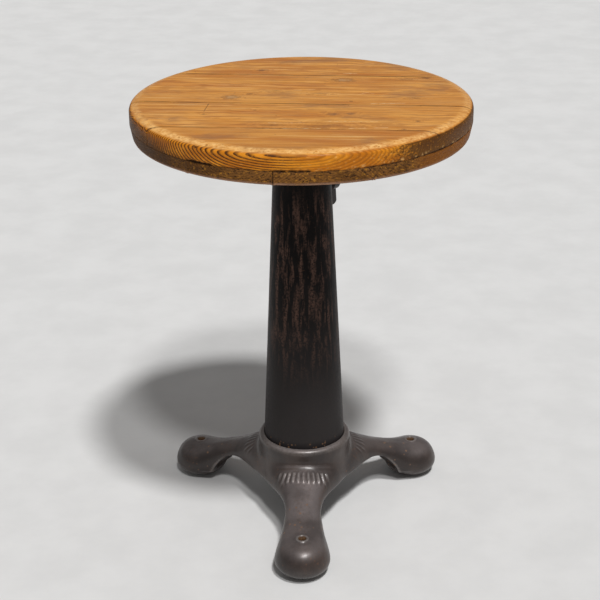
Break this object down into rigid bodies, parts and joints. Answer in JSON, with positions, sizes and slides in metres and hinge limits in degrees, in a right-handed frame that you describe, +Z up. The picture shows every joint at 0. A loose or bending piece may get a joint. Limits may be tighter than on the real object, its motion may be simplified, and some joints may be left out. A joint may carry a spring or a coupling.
{
  "type": "work stool",
  "caption": "Work stool with a round wooden seat that turns, a sliding post held by a wing screw in a tapered iron column, and a spreading cast foot with rounded toes.",
  "frame": {"origin": "on the floor on the axis of the column, which is the centre of the bottom of the bounding box", "axes": "+Z up along the column, -Y towards the front toe, +X to the right seen from the front"},
  "size_m": [0.35, 0.35, 0.475],
  "materials": {
    "upper_wood": "waxed and worn pine",
    "lower_wood": "dark waxed pine",
    "dark_iron": "old black finish worn to satin brown-black iron",
    "steel": "plain turned steel",
    "brass": "dull brass"
  },
  "bodies": {
    "frame": {"base_casting": "dark_iron", "column": "dark_iron", "neck_bush": "brass", "column_bolts": "steel", "bolt_washers": "steel"},
    "post": {"seat_post": "steel", "thrust_washer": "brass", "retaining_washer": "steel", "retaining_screw": "steel", "stop_ring": "steel", "stop_ring_pin": "steel"},
    "seat": {"seat_board_front": "upper_wood", "seat_board_middle_front": "upper_wood", "seat_board_middle_back": "upper_wood", "seat_board_back": "upper_wood", "lower_board_left": "lower_wood", "lower_board_centre_left": "lower_wood", "lower_board_centre_right": "lower_wood", "lower_board_right": "lower_wood", "layer_screws": "steel", "seat_flange": "dark_iron", "flange_screws": "steel"},
    "clamp_pad_body": {"clamp_pad": "brass"},
    "clamp_screw_body": {"clamp_wing_screw": "dark_iron"}
  },
  "joints": [
    {"name": "post_slide", "type": "slide", "parent": "frame", "child": "post", "axis": [0, 0, 1], "range_m": [0, 0.12]},
    {"name": "seat_swivel", "type": "hinge", "parent": "post", "child": "seat", "pos_m": [0, 0, 0.42], "axis": [0, 0, 1], "continuous": true},
    {"name": "clamp_pad_slide", "type": "slide", "parent": "frame", "child": "clamp_pad_body", "axis": [0.6428, 0.766, 0], "range_m": [0, 0.0035]},
    {"name": "clamp_screw_turn", "type": "hinge", "parent": "clamp_pad_body", "child": "clamp_screw_body", "pos_m": [0.03214, 0.0383, 0.373], "axis": [0.6428, 0.766, 0], "range_deg": [0, 720]}
  ],
  "couplings": [
    {"joint": "clamp_screw_turn", "follows": "clamp_pad_slide", "rad_per_m": 3590.4}
  ]
}
